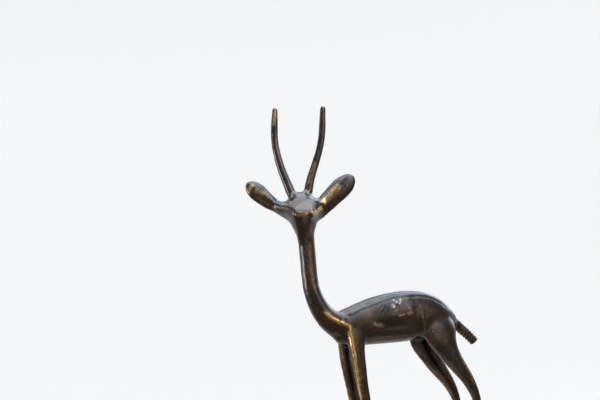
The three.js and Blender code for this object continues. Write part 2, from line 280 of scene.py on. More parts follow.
class Tool:
    """Follows a line on the skin and says how strongly it touches each point."""

    def __init__(self, skin):
        self.skin = skin
        self.tree = skin.tree()
        self.n = skin.normals()

    def touch(self, line, reach, sharp=1.0, taper=0.15):
        """(indices, strength 0..1): 1 on the line, 0 at reach.

        The two ends fade over a share of the length, taper.
        """
        placed = [self.tree.find_nearest(Vector(p)) for p in curve_through(line)]
        on = np.array([hit[0] for hit in placed])
        facing = np.array([hit[1] for hit in placed])
        low, high = on.min(0) - reach, on.max(0) + reach
        near = np.where(((self.skin.p > low) & (self.skin.p < high)).all(1))[0]
        apart = np.linalg.norm(self.skin.p[near][:, None] - on[None], axis=2)
        closest = apart.argmin(1)
        gone = apart[np.arange(len(near)), closest] / reach
        same_side = (self.n[near] * facing[closest]).sum(1)
        strength = np.clip(1 - gone, 0, 1)
        strength = (strength * strength * (3 - 2 * strength)) ** sharp
        strength *= smoothstep(same_side, -0.1, 0.35)
        if len(on) > 1 and taper:
            along = closest / (len(on) - 1)
            strength *= smoothstep(np.minimum(along, 1 - along), -0.02, taper)
        used = strength > 0
        return near[used], strength[used]

    def press(self, line, reach, height, sharp=1.0, taper=0.15):
        """Raises (or, with a negative height, sinks) the skin along the line."""
        at, strength = self.touch(line, reach, sharp, taper)
        self.skin.p[at] += self.n[at] * (strength * height)[:, None]

    def dab(self, name, line, reach, amount, sharp=1.0, taper=0.15):
        """Paints wear, cavity or scar along the line."""
        at, strength = self.touch(line, reach, sharp, taper)
        layer = self.skin.paint[name]
        layer[at] = np.maximum(layer[at], strength * amount)

    def wipe(self, name, line, reach):
        """Takes the paint off along the line."""
        at, strength = self.touch(line, reach)
        self.skin.paint[name][at] *= 1 - strength


skin = Skin(*fused())
skin.p = skin.p - skin.normals() * GAP_CLOSING

# Where the castings meet, and how far the filleting reaches round each meeting.
HUBS = (
    ((-26.5, -3.0, 102.6), 12.5),
    ((-20.5, 0.0, 62.0), 9.0),
    ((34.0, 0.0, 56.5), 4.5),
    ((-12.5, -5.2, 54.5), 7.0),
    ((-12.5, 5.2, 54.5), 7.0),
    ((20.0, -6.2, 54.0), 9.0),
    ((20.0, 6.2, 54.0), 9.0),
)


HUB_CORE = 0.55  # the share of a hub's reach that gets the whole fillet


def near(points, hub):
    centre, reach = hub
    apart = np.linalg.norm(points - place(centre), axis=1)
    return smoothstep(-apart, -reach, -HUB_CORE * reach)


def near_hubs(points):
    return np.maximum.reduce([near(points, hub) for hub in HUBS])


HEAD_HUB = HUBS[0]
MUZZLE_HUB = ((-29.6, -5.0, 102.9), 9.0)
EAR_HUB = ((-34.2, 0.6, 105.0), 8.5)
# Passes of each step, and how far a crest follows in one pass.
FIRST_SMOOTHING = 22
WIDE_FILLET = 220
WIDE_FILLET_CREST = 0.04
MUZZLE_ROUNDING = 150
MUZZLE_CREST = 0.4
FILLET = 40
LAST_SMOOTHING = 6

skin.smooth(FIRST_SMOOTHING)
skin.fill_creases(WIDE_FILLET, near(skin.p, HEAD_HUB), crest=WIDE_FILLET_CREST)
for hub in (MUZZLE_HUB, EAR_HUB):
    skin.fill_creases(MUZZLE_ROUNDING, near(skin.p, hub), crest=MUZZLE_CREST)
skin.fill_creases(FILLET, near_hubs(skin.p))
skin.smooth(LAST_SMOOTHING)

# ---------------------------------------------------------------- chisel, file and wear marks

tool = Tool(skin)

# The figure points that each mark follows. A separate program cast lines of sight onto the castings and
# printed where they met. Lines of sight were cast onto the castings to find them: a fifth of the points are
# where the lines met, and most others are within 1 mm of one.
CHEST_RIDGE = [
    (-25.2, -3.6, 66.5),
    (-22.4, -4.6, 63.5),
    (-20.4, -5.2, 62.1),
    (-17.8, -5.5, 60.8),
    (-15.6, -5.4, 59.6),
    (-15.5, -5.3, 58.4),
    (-15.8, -5.2, 56.9),
    (-15.6, -5.5, 53.2),
    (-15.2, -5.6, 49.6),
    (-15.1, -5.5, 45.5),
    (-14.7, -5.3, 40.1),
    (-14.3, -4.9, 34.7),
    (-14.0, -4.8, 29.0),
]
BACK_EDGE = [
    (-19.4, -3.7, 64.3),
    (-16.0, -4.1, 64.2),
    (-13.3, -4.8, 64.6),
    (-9.8, -4.8, 66.0),
    (-6.3, -4.9, 66.9),
    (-2.9, -5.0, 67.7),
    (0.8, -4.9, 68.7),
    (4.5, -4.9, 69.3),
    (7.8, -5.1, 69.5),
    (12.1, -5.3, 69.5),
    (15.8, -5.2, 69.3),
    (20.5, -5.2, 68.2),
    (25.0, -5.0, 65.6),
    (29.0, -4.2, 62.2),
]
SECOND_EDGE = [(-9.0, -3.0, 67.6), (-6.0, -3.1, 68.4), (-3.0, -3.2, 69.2), (0.0, -3.0, 69.9)]
EDGE_GROOVE = [(-7.6, -4.0, 67.3), (-5.4, -4.1, 67.9), (-2.9, -4.2, 68.5)]
FLANK_CREASE = [(-8.2, -5.4, 56.3), (-1.4, -5.8, 56.7), (9.0, -6.2, 56.7), (14.0, -6.4, 56.9)]
FLANK_HOLLOW = [(-7.6, -5.8, 59.0), (0.0, -6.2, 58.7), (7.0, -6.8, 58.9), (12.8, -7.0, 59.4)]
BELLY_EDGE = [(-9.0, -2.6, 53.4), (0.0, -2.9, 53.0), (10.0, -3.5, 53.3), (14.0, -3.9, 53.6)]
FORELEG_FACET = [(-11.2, -5.9, 56.0), (-11.2, -5.9, 50.0), (-11.5, -5.6, 42.0), (-11.6, -5.2, 34.0)]
ARMPIT_BUMP = [(-6.3, -6.0, 59.2), (-4.9, -6.0, 58.9), (-3.2, -6.1, 58.7), (-0.4, -6.3, 58.4)]
THIGH_FRONT = [
    (14.9, -7.4, 65.5),
    (15.0, -7.5, 60.5),
    (15.6, -6.8, 56.4),
    (17.2, -6.4, 51.9),
    (19.8, -6.4, 47.5),
    (23.3, -5.8, 43.3),
    (27.0, -6.1, 38.9),
    (31.2, -5.6, 33.4),
    (33.5, -5.5, 28.4),
]
THIGH_REAR = [
    (32.6, -3.2, 58.2),
    (29.5, -6.2, 52.0),
    (28.3, -7.9, 46.6),
    (30.2, -7.7, 42.2),
    (32.4, -7.6, 37.6),
    (33.8, -7.6, 32.1),
]
FLANK_CURL = [(1.4, -5.9, 67.0), (1.1, -6.2, 65.8), (0.4, -6.4, 64.7), (-0.4, -6.5, 63.7), (-1.2, -6.4, 62.8)]
FLANK_NICK = [(-0.9, -5.7, 66.4), (-1.2, -6.1, 65.2)]
RING_SCAR = (3.5, -6.6, 65.6)
SCARS = (((5.3, -6.3, 67.0), 0.62), ((4.4, -5.8, 67.8), 0.45), ((7.1, -6.2, 67.7), 0.50))
SCAR_PITS = ((5.3, -6.6, 65.9), (6.1, -6.8, 65.5))
SCAR_LINE = [(6.9, -6.3, 67.3), (6.4, -6.5, 66.6), (6.0, -6.7, 65.9)]
FLANK_SPECKS = (
    ([(5.0, -7.1, 61.9), (6.2, -7.1, 62.0), (7.4, -7.2, 62.2)], 0.60, 1.0),
    ([(9.0, -7.4, 62.2), (10.6, -7.4, 62.4)], 1.30, 0.62),
    ([(9.0, -7.1, 65.4)], 0.50, 0.9),
    ([(9.7, -7.2, 63.9), (9.9, -7.2, 64.6)], 0.40, 0.9),
    ([(14.9, -7.4, 65.1)], 0.45, 0.8),
    ([(16.2, -7.6, 60.1), (17.4, -7.6, 61.0)], 0.45, 0.7),
    ([(3.4, -6.9, 63.6), (4.6, -7.0, 64.1)], 0.45, 0.7),
)
MUZZLE_EDGE = [(-33.3, -6.8, 101.2), (-32.4, -8.7, 100.8), (-30.9, -9.5, 100.7), (-29.0, -9.9, 100.9)]
CHEEK_EDGE = [(-27.7, -9.5, 101.1), (-25.7, -7.7, 101.8), (-24.0, -6.3, 102.7), (-21.2, -4.8, 104.4)]
LEFT_EAR_MID = [
    (-21.2, -4.7, 104.5),
    (-19.9, -5.0, 105.7),
    (-18.2, -5.7, 107.3),
    (-15.1, -7.0, 110.1),
    (-12.6, -7.9, 112.0),
]
LEFT_EAR_RIM = [(-20.4, -3.4, 107.6), (-18.1, -3.8, 110.0), (-16.1, -5.1, 111.8), (-12.0, -6.9, 114.6)]
RIGHT_EAR_MID = [(-31.5, 1.4, 104.9), (-34.5, 4.0, 107.2), (-38.0, 6.2, 111.0), (-41.2, 8.0, 114.6)]
RIGHT_EAR_LOW = [
    (-33.1, 2.5, 104.0),
    (-35.0, 3.9, 105.8),
    (-36.8, 5.0, 107.3),
    (-38.5, 6.1, 109.0),
    (-41.3, 8.1, 112.2),
]
RIGHT_EAR_TIP = [(-42.4, 9.2, 114.2), (-41.6, 8.5, 115.6)]
BROWS = ((-31.7, -3.2, 106.7), (-24.0, -5.9, 106.3))
NECK_FRONT = [
    (-28.0, -4.7, 97.8),
    (-27.6, -2.9, 92.6),
    (-27.9, -2.6, 86.0),
    (-27.5, -2.7, 78.0),
    (-26.5, -3.1, 71.0),
]
LEFT_HORN_ROOT = [(-25.6, -3.2, 109.6), (-24.0, -3.0, 109.9), (-22.2, -2.0, 110.2)]
RIGHT_HORN_ROOT = [(-31.6, 0.4, 109.6), (-30.6, -0.8, 109.6), (-29.4, -0.9, 109.8)]
RIGHT_HORN_GOLD = [(-30.0, 5.1, 144.6), (-30.4, 5.1, 142.0), (-30.8, 5.3, 139.6), (-31.3, 5.6, 137.6)]
LEFT_HORN_GOLD = [(-24.0, -1.4, 113.0), (-22.8, -1.7, 115.4), (-20.6, -1.9, 119.7), (-19.0, -2.1, 123.0)]
HORN_NICK = ((-32.6, 6.1, 134.3), (-32.6, 6.2, 133.3))
TAIL_END = (42.2, 0.0, 49.2)


def mirrored(line):
    """The same line on the animal's other side."""
    return [(x, -y, z) for x, y, z in line]


def as_given(line):
    return list(line)


def shifted(line, x=0.0, y=0.0, z=0.0):
    return [(px + x, py + y, pz + z) for px, py, pz in line]


CURL_GROOVE = shifted(FLANK_CURL, x=-0.85)

for side in (as_given, mirrored):
    tool.press(side(CHEST_RIDGE), 1.7, 0.34, sharp=1.6, taper=0.08)
    tool.press(side(shifted(CHEST_RIDGE[1:5], x=2.6, z=-1.2)), 2.0, -0.18)
    tool.press(side(shifted(CHEST_RIDGE[0:5], x=-2.0, y=0.3, z=-2.0)), 2.6, -0.42)
    tool.press(side(BACK_EDGE), 1.5, 0.26, sharp=1.5, taper=0.12)
    tool.press(side(shifted(BACK_EDGE[1:-1], y=1.5, z=0.5)), 1.4, -0.16)
    tool.press(side(FLANK_HOLLOW), 3.8, -0.55, taper=0.35)
    tool.press(side(FLANK_CREASE), 1.3, 0.12)
    tool.press(side(FORELEG_FACET), 2.2, -0.40, taper=0.2)
    tool.press(side(THIGH_FRONT), 1.7, 0.24, taper=0.2)
    tool.press(side(shifted(THIGH_FRONT[:3], x=-2.3)), 2.2, -0.26)
tool.press(SECOND_EDGE, 0.8, 0.14, taper=0.3)
tool.press(EDGE_GROOVE, 0.7, -0.20, taper=0.3)
tool.press(ARMPIT_BUMP, 1.4, 0.62, taper=0.3)
tool.press(FLANK_CURL, 0.6, 0.16, taper=0.3)
tool.press(CURL_GROOVE, 0.6, -0.18, taper=0.3)
tool.press(FLANK_NICK, 0.5, -0.14, taper=0.3)
tool.press([RING_SCAR], 1.1, 0.18)
tool.press([RING_SCAR], 0.6, -0.48)
for point, reach in SCARS:
    tool.press([point], reach, 0.12)
for point in SCAR_PITS:
    tool.press([point], 0.5, -0.26)
for brow in BROWS:
    tool.press([brow], 2.4, 0.22)
tool.press(MUZZLE_EDGE, 1.5, 0.20)
tool.press(CHEEK_EDGE, 2.4, 0.20)
tool.press(LEFT_EAR_MID, 2.4, 0.16)
tool.press(LEFT_EAR_RIM, 1.0, 0.14)
tool.press(RIGHT_EAR_MID, 1.9, 0.24)
tool.press(RIGHT_EAR_LOW, 0.9, 0.14)
tool.press(LEFT_HORN_ROOT, 0.6, -0.10)
tool.press(RIGHT_HORN_ROOT, 0.6, -0.08)
tool.press([HORN_NICK[0]], 0.7, -0.32)
tool.press([HORN_NICK[1]], 0.6, 0.22)

# The tail is twisted like cord: shallow slanting notches round its axis.
TAIL_TOP = place((34.6, 0.0, 57.2))
TAIL_AXIS = np.array([0.741, 0.0, -0.671])
TAIL_ACROSS = np.array([0.671, 0.0, 0.741])
TAIL_LENGTH = 14
TAIL_RADIUS = 3.5
TAIL_PITCH = 1.35
TAIL_NOTCH = 0.26
TAIL_GRIME = 0.7
NOTCHES_FADE_IN = (0.2, 1.6)

away = skin.p - TAIL_TOP
along = away @ TAIL_AXIS
across = np.stack([away @ TAIL_ACROSS, away[:, 1]], 1)
inside = (np.linalg.norm(across, axis=1) < TAIL_RADIUS) * (along < TAIL_LENGTH)
on_tail = smoothstep(along, *NOTCHES_FADE_IN) * inside
turn = np.arctan2(across[:, 1], across[:, 0])
wave = 0.5 + 0.5 * np.cos(2 * math.pi * along / TAIL_PITCH + turn)
skin.p -= skin.normals() * (on_tail * wave**2 * TAIL_NOTCH)[:, None]
skin.paint["cavity"] = np.maximum(skin.paint["cavity"], on_tail * wave**2 * TAIL_GRIME)

# Slight unevenness left by hand work and casting.
UNEVEN = ((5.5, 0.10), (2.1, 0.035), (0.9, 0.014))
NOISE_OFFSET = 31.7


def unevenness(points):
    out = np.zeros(len(points))
    offset = Vector((NOISE_OFFSET,) * 3)
    for wavelength, height in UNEVEN:
        out += height * np.array([noise.noise(Vector(p) / wavelength + offset) for p in points])
    return out


SOLE_CALM = (0.3, 3.0)  # the soles stay flat below the first height
FINAL_EASING = 0.3
calm_at_soles = smoothstep(skin.p[:, 2], *SOLE_CALM)
skin.p += skin.normals() * (unevenness(skin.p) * calm_at_soles)[:, None]
skin.p = skin.p + FINAL_EASING * (skin.beside(skin.p) - skin.p)
low_corner = np.array(cad_box[0]) / MM
high_corner = np.array(cad_box[1]) / MM
skin.p = np.clip(skin.p, low_corner, high_corner)

# ---------------------------------------------------------------- wear, grime and painted shade, point by point

CREST = 0.10  # a crest or hollow of about this height or depth is painted
CREST_WEAR = 0.42
HOLLOW_GRIME = 0.8
BULGE_PASSES = 14
tool = Tool(skin)
calm = skin.relaxed(skin.p, BULGE_PASSES)
bulge = ((skin.p - calm) * tool.n).sum(1)
crest = smoothstep(bulge, 0.35 * CREST, 1.6 * CREST)
hollow = smoothstep(-bulge, 0.2 * CREST, 1.5 * CREST)
skin.paint["wear"] = np.maximum(skin.paint["wear"], CREST_WEAR * crest)
skin.paint["cavity"] = np.maximum(skin.paint["cavity"], HOLLOW_GRIME * hollow)

for side in (as_given, mirrored):
    tool.dab("wear", side(CHEST_RIDGE), 2.6, 0.50, taper=0.1)
    tool.dab("wear", side(CHEST_RIDGE), 1.25, 1.15, taper=0.05)
    tool.dab("wear", side(CHEST_RIDGE[4:9]), 1.7, 1.0, taper=0.2)
    tool.wipe("wear", side(BACK_EDGE), 2.4)
    tool.dab("wear", side(THIGH_FRONT), 1.3, 0.42, taper=0.1)
    tool.dab("wear", side(THIGH_REAR[2:]), 1.3, 0.55)
    # The broad dark band along the flank hollow is painted shade.
    tool.dab("cavity", side(FLANK_HOLLOW), 3.6, 0.6, taper=0.3)
    tool.dab("wear", side(BELLY_EDGE), 0.8, 0.55)
tool.dab("wear", ARMPIT_BUMP, 1.6, 0.60, taper=0.35)
tool.dab("wear", NECK_FRONT, 2.6, 0.36)
for line, reach, amount in FLANK_SPECKS:
    tool.dab("wear", line, reach, amount, taper=0)
tool.dab("wear", MUZZLE_EDGE, 1.7, 0.74, taper=0.1)
tool.dab("wear", CHEEK_EDGE, 1.9, 0.85, taper=0.05)
tool.dab("wear", LEFT_EAR_MID, 2.7, 0.74, taper=0.15)
tool.dab("wear", RIGHT_EAR_MID[2:], 2.0, 0.6)
tool.dab("wear", RIGHT_EAR_TIP, 1.8, 0.95, taper=0)
tool.dab("wear", RIGHT_EAR_LOW, 0.9, 0.6)
tool.dab("wear", RIGHT_HORN_GOLD, 1.2, 0.95)
tool.dab("wear", LEFT_HORN_GOLD, 1.1, 0.58)
tool.dab("wear", LEFT_HORN_ROOT, 1.0, 0.45)
tool.dab("wear", [RIGHT_HORN_ROOT[1]], 1.0, 0.5)
tool.dab("wear", [TAIL_END], 1.8, 0.8)
tool.dab("cavity", LEFT_HORN_ROOT, 0.8, 0.5)
# The dark line in the back's groove is painted shade.
tool.dab("cavity", EDGE_GROOVE, 0.7, 0.9)
tool.dab("cavity", CURL_GROOVE, 0.6, 0.8)
tool.dab("scar", [RING_SCAR], 1.15, 0.9)
tool.dab("scar", SCAR_LINE, 0.45, 0.6)
for point, reach in SCARS:
    tool.dab("scar", [point], reach + 0.1, 0.8)
for point in (RING_SCAR, *SCAR_PITS):
    tool.dab("cavity", [point], 0.55, 1.5)
for name, layer in skin.paint.items():
    skin.paint[name] = np.clip(skin.relaxed(layer, 1), 0, 1)

# ---------------------------------------------------------------- cut into the separate castings

# Each joint: the casting beyond it, a point on its plane, the plane's direction, and how far the cut
# reaches. A separate program printed the planes from the CAD model's joints, and the two ear planes and
# some reaches were then changed by hand.
JOINTS = (
    ("left_horn", (-22.98, -0.56, 111.22), (0.285, -0.041, 0.958), 3.1),
    ("right_horn", (-28.73, 2.50, 111.79), (-0.051, 0.138, 0.989), 3.1),
    ("left_ear", (-18.06, -3.01, 105.75), (0.710, -0.343, 0.615), 5.2),
    ("right_ear", (-33.16, 5.02, 106.47), (-0.643, 0.376, 0.667), 5.6),
    ("head", (-26.48, 0.18, 95.66), (0.077, -0.041, 0.996), 10.0),
    ("neck", (-21.03, 0.0, 63.29), (-0.682, 0.0, 0.732), 9.0),
    ("tail", (35.95, 0.0, 55.90), (0.741, 0.0, -0.671), 3.4),
    ("left_foreleg", (-12.83, -4.1, 50.15), (0.0, 0.0, -1.0), 7.0),
    ("right_foreleg", (-12.43, 4.1, 50.15), (0.0, 0.0, -1.0), 7.0),
    ("left_hind_leg", (26.17, -6.0, 45.65), (0.0, 0.0, -1.0), 9.0),
    ("right_hind_leg", (25.37, 6.0, 45.65), (0.0, 0.0, -1.0), 9.0),
)
LAYERS = (*PAINTS, "nx", "ny", "nz")
ON_PLANE = 1.05  # a point this many SNAPs from a joint plane, or fewer, is on it
VOTERS = 60  # about how many faces say which casting a group belongs to


def cut_skin():
    """The skin as a bmesh with an edge loop round each joint, and the set of those loop edges."""
    bm = bmesh.new()
    normals = skin.normals()
    values = np.column_stack([*skin.paint.values(), normals])
    layers = [bm.verts.layers.float.new(name) for name in LAYERS]
    made = []
    for co, row in zip((skin.p * MM).tolist(), values.tolist()):
        v = bm.verts.new(co)
        for layer, value in zip(layers, row):
            v[layer] = value
        made.append(v)
    for quad in skin.quads.tolist():
        bm.faces.new([made[i] for i in quad])
    for _, point, direction, reach in JOINTS:
        centre, axis = Vector(place(point)) * MM, Vector(direction).normalized()
        faces = [f for f in bm.faces if (f.calc_center_median() - centre).length < reach * MM]
        edges = {e for f in faces for e in f.edges}
        verts = {v for f in faces for v in f.verts}
        bmesh.ops.bisect_plane(
            bm,
            geom=[*verts, *edges, *faces],
            dist=SNAP * MM,
            plane_co=centre,
            plane_no=axis,
        )
    seams = set()
    for _, point, direction, reach in JOINTS:
        centre, axis = Vector(place(point)) * MM, Vector(direction).normalized()
        on = {
            v
            for v in bm.verts
            if abs((v.co - centre).dot(axis)) < ON_PLANE * SNAP * MM
            and (v.co - centre).length < (reach + VOXEL) * MM
        }
        seams |= {e for v in on for e in v.link_edges if e.other_vert(v) in on}
    return bm, seams


def patches(bm, seams):
    """Groups of faces that aren't parted by a seam."""
    seen = set()
    for face in bm.faces:
        if face in seen:
            continue
        seen.add(face)
        group, todo = [], [face]
        while todo:
            here = todo.pop()
            group.append(here)
            for edge in here.edges:
                if edge in seams:
                    continue
                for other in edge.link_faces:
                    if other not in seen:
                        seen.add(other)
                        todo.append(other)
        yield group


def nearest_casting(group, trees):
    """The CAD node that most of the group's faces lie on."""
    sample = group[:: max(1, len(group) // VOTERS)]
    votes = {}
    for face in sample:
        centre = face.calc_center_median()
        best = min(trees, key=lambda name: trees[name].find_nearest(centre)[3])
        votes[best] = votes.get(best, 0) + 1
    return max(votes, key=votes.get)


def casting(name, faces, layers):
    """One closed casting: its share of the skin, and a flat face at each joint."""
    index, points, data = {}, [], []
    polygons = []
    for face in faces:
        polygon = []
        for v in face.verts:
            if v not in index:
                index[v] = len(points)
                points.append(v.co.copy())
                data.append([v[layer] for layer in layers])
            polygon.append(index[v])
        polygons.append(polygon)
    mesh = bpy.data.meshes.new(name)
    mesh.from_pydata(points, [], polygons)
    bm = bmesh.new()
    bm.from_mesh(mesh)
    rim = [e for e in bm.edges if e.is_boundary]
    bmesh.ops.holes_fill(bm, edges=rim, sides=0)
    bm.normal_update()
    bm.to_mesh(mesh)
    bm.free()
    data = np.array(data)
    normals = data[:, 3:6] / np.linalg.norm(data[:, 3:6], axis=1)[:, None]
    loops = []
    for polygon in mesh.polygons:
        flat = polygon.index >= len(polygons)
        for i in polygon.vertices:
            loops.append(tuple(polygon.normal) if flat else tuple(normals[i]))
    mesh.polygons.foreach_set("use_smooth", [True] * len(mesh.polygons))
    mesh.normals_split_custom_set(loops)
    for k, label in enumerate(PAINTS):
        attribute = mesh.attributes.new(label, "FLOAT", "POINT")
        attribute.data.foreach_set("value", data[:, k].astype(np.float32))
    return mesh


bm, seams = cut_skin()
layers = [bm.verts.layers.float[name] for name in LAYERS]
trees = {}
for name, node in nodes.items():
    mesh = node.data
    corners = [v.co for v in mesh.vertices]
    trees[name] = BVHTree.FromPolygons(corners, [p.vertices[:] for p in mesh.polygons])
shares = {name: [] for name in nodes}
for group in patches(bm, seams):
    chosen = nearest_casting(group, trees)
    shares[chosen] += group

# ---------------------------------------------------------------- bronze


def link(tree, source, target):
    tree.links.new(source, target)


DARK_PATINA = (0.028, 0.018, 0.012)
BROWN_PATINA = (0.068, 0.040, 0.022)
OLIVE_PATINA = (0.105, 0.068, 0.036)
# Near-black for the hollows: dark patina there, and painted shade in the flank hollow and the back's groove.
GRIME_AND_PAINTED_SHADE = (0.008, 0.006, 0.004)
RUBBED_BROWN = (0.260, 0.145, 0.058)
BARE_BRONZE = (0.800, 0.440, 0.140)
SCARRED_BRONZE = (0.560, 0.350, 0.280)


def bronze():
    """Dark brown patina over yellow bronze: bright on crests, darkest in hollows, with a waxed gloss."""
    material = bpy.data.materials.new("patinated_bronze")
    material.use_nodes = True
    tree = material.node_tree
    tree.nodes.clear()
    new = tree.nodes.new

    def math_node(operation, a, b=None, clamp=False):
        node = new("ShaderNodeMath")
        node.operation = operation
        node.use_clamp = clamp
        for socket, value in zip(node.inputs, (a, b)):
            if value is None:
                continue
            if isinstance(value, (int, float)):
                socket.default_value = value
            else:
                link(tree, value, socket)
        return node.outputs[0]

    def ramp(value, low, high, to_low=0.0, to_high=1.0):
        node = new("ShaderNodeMapRange")
        node.interpolation_type = "SMOOTHSTEP"
        link(tree, value, node.inputs["Value"])
        keys = ("From Min", "From Max", "To Min", "To Max")
        for key, number in zip(keys, (low, high, to_low, to_high)):
            node.inputs[key].default_value = number
        return node.outputs[0]

    where = new("ShaderNodeTexCoord").outputs["Object"]

    def grain(per_mm, detail=2.0, roughness=0.5, stretch=(1, 1, 1), twist=(0, 0, 0), distortion=0.0):
        mapping = new("ShaderNodeMapping")
        mapping.inputs["Scale"].default_value = stretch
        mapping.inputs["Rotation"].default_value = twist
        link(tree, where, mapping.inputs["Vector"])
        node = new("ShaderNodeTexNoise")
        node.inputs["Scale"].default_value = per_mm / MM
        node.inputs["Detail"].default_value = detail
        node.inputs["Roughness"].default_value = roughness
        node.inputs["Distortion"].default_value = distortion
        link(tree, mapping.outputs[0], node.inputs["Vector"])
        return node.outputs["Fac"]

    def specks(per_mm, low, high):
        node = new("ShaderNodeTexVoronoi")
        node.inputs["Scale"].default_value = per_mm / MM
        link(tree, where, node.inputs["Vector"])
        return ramp(node.outputs["Distance"], low, high, 1.0, 0.0)

    def blend(share, a, b):
        node = new("ShaderNodeMix")
        node.data_type = "RGBA"
        for key, value in (("Factor", share), ("A", a), ("B", b)):
            in_colour = key != "Factor"
            socket = next(s for s in node.inputs if s.name == key and (s.type == "RGBA") == in_colour)
            if isinstance(value, tuple):
                socket.default_value = (*value, 1)
            elif isinstance(value, (int, float)):
                socket.default_value = value
            else:
                link(tree, value, socket)
        return next(s for s in node.outputs if s.type == "RGBA")

    def layer(name):
        node = new("ShaderNodeAttribute")
        node.attribute_name = name
        return node.outputs["Fac"]

    wear, cavity, scar = layer("wear"), layer("cavity"), layer("scar")
    broad = grain(0.13, 3.0)
    zones = grain(0.30, 2.0, 0.5, (1, 1, 1.6), (0.5, 0.2, 0.9))
    middle = grain(0.80, 4.0, 0.62)
    fine = grain(2.8, 3.0, 0.6)
    scratch_a = grain(1.0, 2.0, 0.5, (9, 1.2, 1.2), (0.2, 0.5, 0.3))
    scratch_b = grain(1.0, 2.0, 0.5, (1.2, 1.2, 10), (0.4, -0.6, 0.1))

    # Colour: brown and near-black patina in patches, rubbed olive-brown where handled, bare bronze on crests.
    patina = blend(ramp(broad, 0.36, 0.66), DARK_PATINA, BROWN_PATINA)
    mottle = math_node("MULTIPLY", ramp(middle, 0.50, 0.78), ramp(zones, 0.36, 0.66, 0.12, 0.70))
    mottled = blend(mottle, patina, OLIVE_PATINA)
    mottled = blend(ramp(fine, 0.62, 0.84, 0.0, 0.36), mottled, RUBBED_BROWN)
    # Hollows go near-black: dark patina, and painted shade along the flank hollow and the back's groove.
    dark = blend(math_node("MULTIPLY", cavity, 0.9), mottled, GRIME_AND_PAINTED_SHADE)
    broken = math_node("MULTIPLY", math_node("SUBTRACT", middle, 0.5), 0.80)
    broken = math_node("ADD", broken, math_node("MULTIPLY", math_node("SUBTRACT", scratch_a, 0.5), 0.55))
    broken = math_node("ADD", broken, math_node("MULTIPLY", math_node("SUBTRACT", fine, 0.5), 0.45))
    broken = math_node("ADD", broken, wear)
    rubbed = ramp(broken, 0.15, 0.70)
    bare = ramp(broken, 0.55, 1.02)
    flecks = math_node("MULTIPLY", specks(1.0, 0.05, 0.17), ramp(zones, 0.52, 0.66))
    bare = math_node("MAXIMUM", bare, math_node("MULTIPLY", flecks, 0.8))
    brown = blend(math_node("MULTIPLY", rubbed, 0.85), dark, RUBBED_BROWN)
    gold = blend(bare, brown, BARE_BRONZE)
    colour = blend(scar, gold, SCARRED_BRONZE)

    # Gloss: satin patina, smoother where rubbed, duller in hollows.
    rough = ramp(middle, 0.3, 0.7, 0.22, 0.36)
    rough = math_node("ADD", rough, math_node("MULTIPLY", cavity, 0.20))
    rough = math_node("SUBTRACT", rough, math_node("MULTIPLY", rubbed, 0.05), clamp=True)

    # Relief: cast grain, fine scratches and pinholes.
    relief = math_node("MULTIPLY", middle, 0.40)
    relief = math_node("ADD", relief, math_node("MULTIPLY", fine, 0.22))
    relief = math_node("ADD", relief, math_node("MULTIPLY", ramp(scratch_a, 0.58, 0.70), -0.12))
    relief = math_node("ADD", relief, math_node("MULTIPLY", ramp(scratch_b, 0.60, 0.72), -0.12))
    relief = math_node("SUBTRACT", relief, math_node("MULTIPLY", specks(0.8, 0.04, 0.14), 0.5))
    bump = new("ShaderNodeBump")
    bump.inputs["Strength"].default_value = 0.5
    bump.inputs["Distance"].default_value = 0.05 * MM
    link(tree, relief, bump.inputs["Height"])

    shader = new("ShaderNodeBsdfPrincipled")
    link(tree, colour, shader.inputs["Base Color"])
    link(tree, rough, shader.inputs["Roughness"])
    link(tree, bump.outputs[0], shader.inputs["Normal"])
    shader.inputs["Metallic"].default_value = 1.0
    shader.inputs["Specular Tint"].default_value = (0.55, 0.56, 0.60, 1)
    shader.inputs["Coat Weight"].default_value = 0.55
    shader.inputs["Coat Roughness"].default_value = 0.18
    shader.inputs["Coat IOR"].default_value = 1.5
    output = new("ShaderNodeOutputMaterial")
    link(tree, shader.outputs[0], output.inputs["Surface"])
    return material


finish = bronze()
figure = bpy.data.collections.new("figure")
bpy.context.scene.collection.children.link(figure)
for name in sorted(nodes):
    if not shares[name]:
        raise SystemExit(f"no skin was found for {name}")
    mesh = casting(f"{name}_casting", shares[name], layers)
    mesh.materials.append(finish)
    piece = bpy.data.objects.new(f"{name}_casting", mesh)
    figure.objects.link(piece)
    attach(piece, "root")
    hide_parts(name)
    nodes[name].data.materials.clear()
    nodes[name].data.materials.append(finish)
bm.free()

# ---------------------------------------------------------------- floor and backdrop

VIEW_TURN = math.radians(-28)
VIEW_RISE = math.radians(-10)
VIEW_ROLL = math.radians(7)
CENTRE_RADIUS = 0.5
FLAT_RADIUS = 800
FLAT_RINGS = (0.35, 0.7)  # as shares of the flat radius
CURVE_RADIUS = 520
CURVE_STEPS = 16
WALL_HEIGHT = 1150
SPOKES = 96


